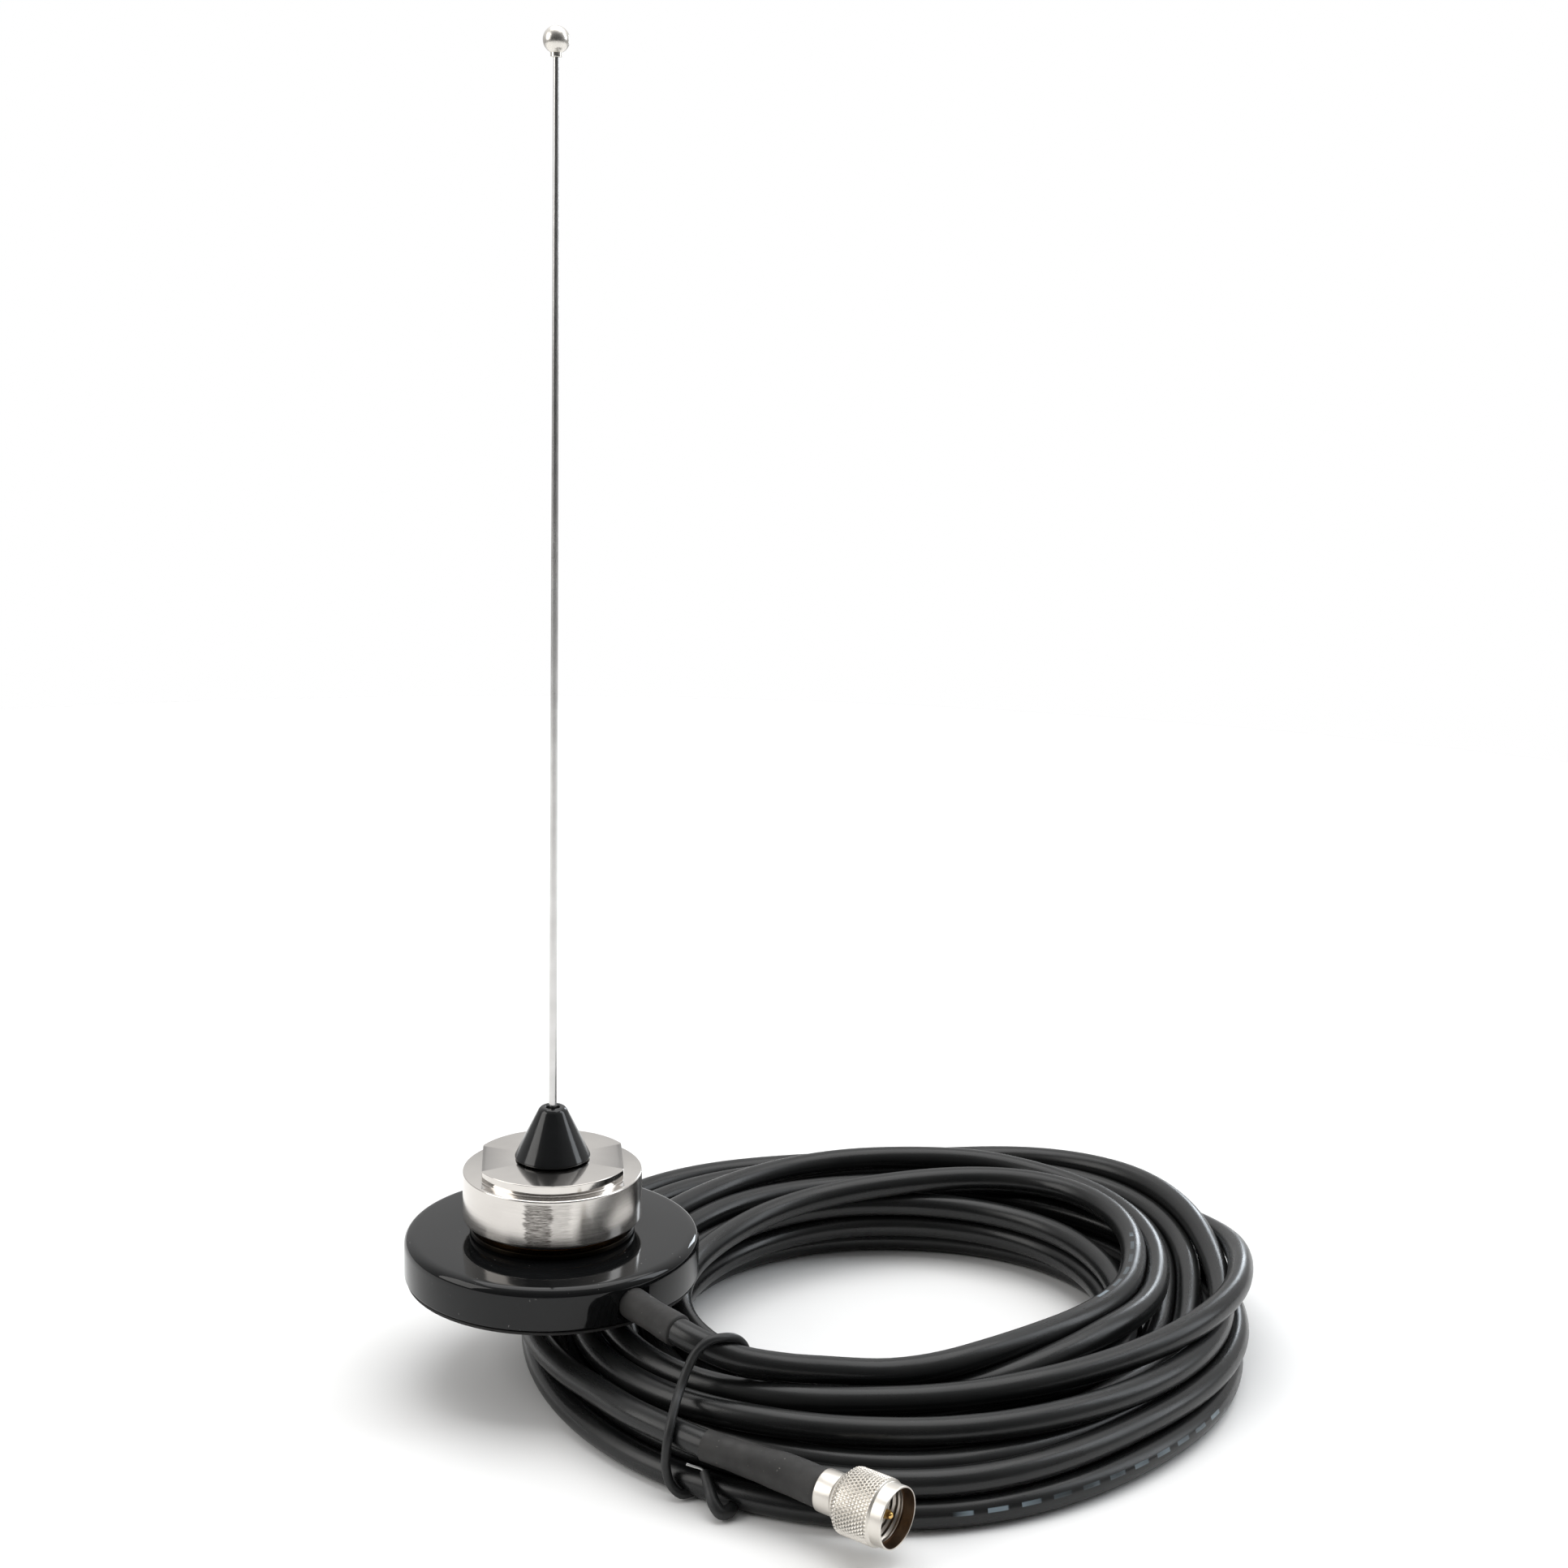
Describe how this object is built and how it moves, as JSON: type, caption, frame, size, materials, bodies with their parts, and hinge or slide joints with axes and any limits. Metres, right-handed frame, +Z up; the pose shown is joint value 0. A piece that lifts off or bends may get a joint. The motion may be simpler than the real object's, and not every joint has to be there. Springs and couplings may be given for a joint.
{
  "type": "mobile whip antenna",
  "caption": "Whip antenna that screws on a round magnetic base, with its coax lead wound in a coil under it, held by a twist tie, and a screw-on plug on the lead.",
  "frame": {"origin": "on the ground, at the coil's flat underside, straight below the antenna's axis", "axes": "+Z up along the whip, +X from the base towards the middle of the coil, -Y towards the connector's side"},
  "size_m": [0.1658, 0.1572, 0.2435],
  "materials": {
    "black_enamel": "glossy black",
    "black_gloss_plastic": "glossy black",
    "black_rubber": "matte black",
    "shrink_sleeve": "matte black heat-shrink",
    "cable_jacket": "satin black PVC",
    "tie_coat": "satin black plastic over wire",
    "bright_nickel": "bright nickel plate",
    "whip_steel": "ground stainless steel",
    "steel": "plain",
    "brass": "turned",
    "gold_plate": "gold plated",
    "copper": "bare copper",
    "ferrite": "matte dark grey",
    "white_insulator": "smooth white"
  },
  "bodies": {
    "root": {"base_cover": "black_enamel", "bottom_pad": "black_rubber", "ring_magnet": "ferrite", "yoke_plate": "steel", "lock_ring": "brass", "mount_collar": "brass", "mount_insulator": "white_insulator", "mount_contact": "gold_plate", "coax_jacket_end": "cable_jacket", "coax_braid_end": "copper", "coax_dielectric": "white_insulator", "coax_conductor": "copper", "ground_lug": "brass", "strain_relief": "shrink_sleeve", "cable_coil": "cable_jacket", "cable_lead": "cable_jacket", "cable_tail": "cable_jacket", "connector_body": "bright_nickel", "retaining_ring": "steel", "plug_gasket": "black_rubber", "plug_insulator": "white_insulator", "centre_pin": "gold_plate", "crimp_ferrule": "bright_nickel", "plug_sleeve": "shrink_sleeve", "twist_tie": "tie_coat", "twist_tie_end": "tie_coat", "tie_wire_tip": "steel"},
    "lift": {"seal_ring": "black_rubber"},
    "antenna": {"base_nut": "bright_nickel", "nut_insulator": "white_insulator", "whip_insert": "brass", "whip_cone": "black_gloss_plastic", "whip_rod": "whip_steel", "tip_ball": "bright_nickel", "contact_spring": "steel"},
    "contact": {"contact_plunger": "gold_plate"},
    "coupling": {"coupling_nut": "bright_nickel"}
  },
  "joints": [
    {"name": "antenna_lift", "type": "slide", "parent": "root", "child": "lift", "axis": [0, 0, 1], "range_m": [0, 0.0057]},
    {"name": "antenna_turn", "type": "hinge", "parent": "lift", "child": "antenna", "pos_m": [0, 0, 0.0303], "axis": [0, 0, 1], "range_deg": [0, 1440]},
    {"name": "contact_press", "type": "slide", "parent": "antenna", "child": "contact", "axis": [0, 0, 1], "range_m": [0, 0.0008], "stiffness_N_per_m": 300, "deforming": ["contact_spring"]},
    {"name": "coupling_nut_spin", "type": "hinge", "parent": "root", "child": "coupling", "pos_m": [0.0627, -0.0688, 0.0085], "axis": [0.809, -0.5878, 0], "continuous": true}
  ],
  "couplings": [
    {"joint": "antenna_lift", "follows": "antenna_turn", "m_per_rad": 0.00022458}
  ]
}
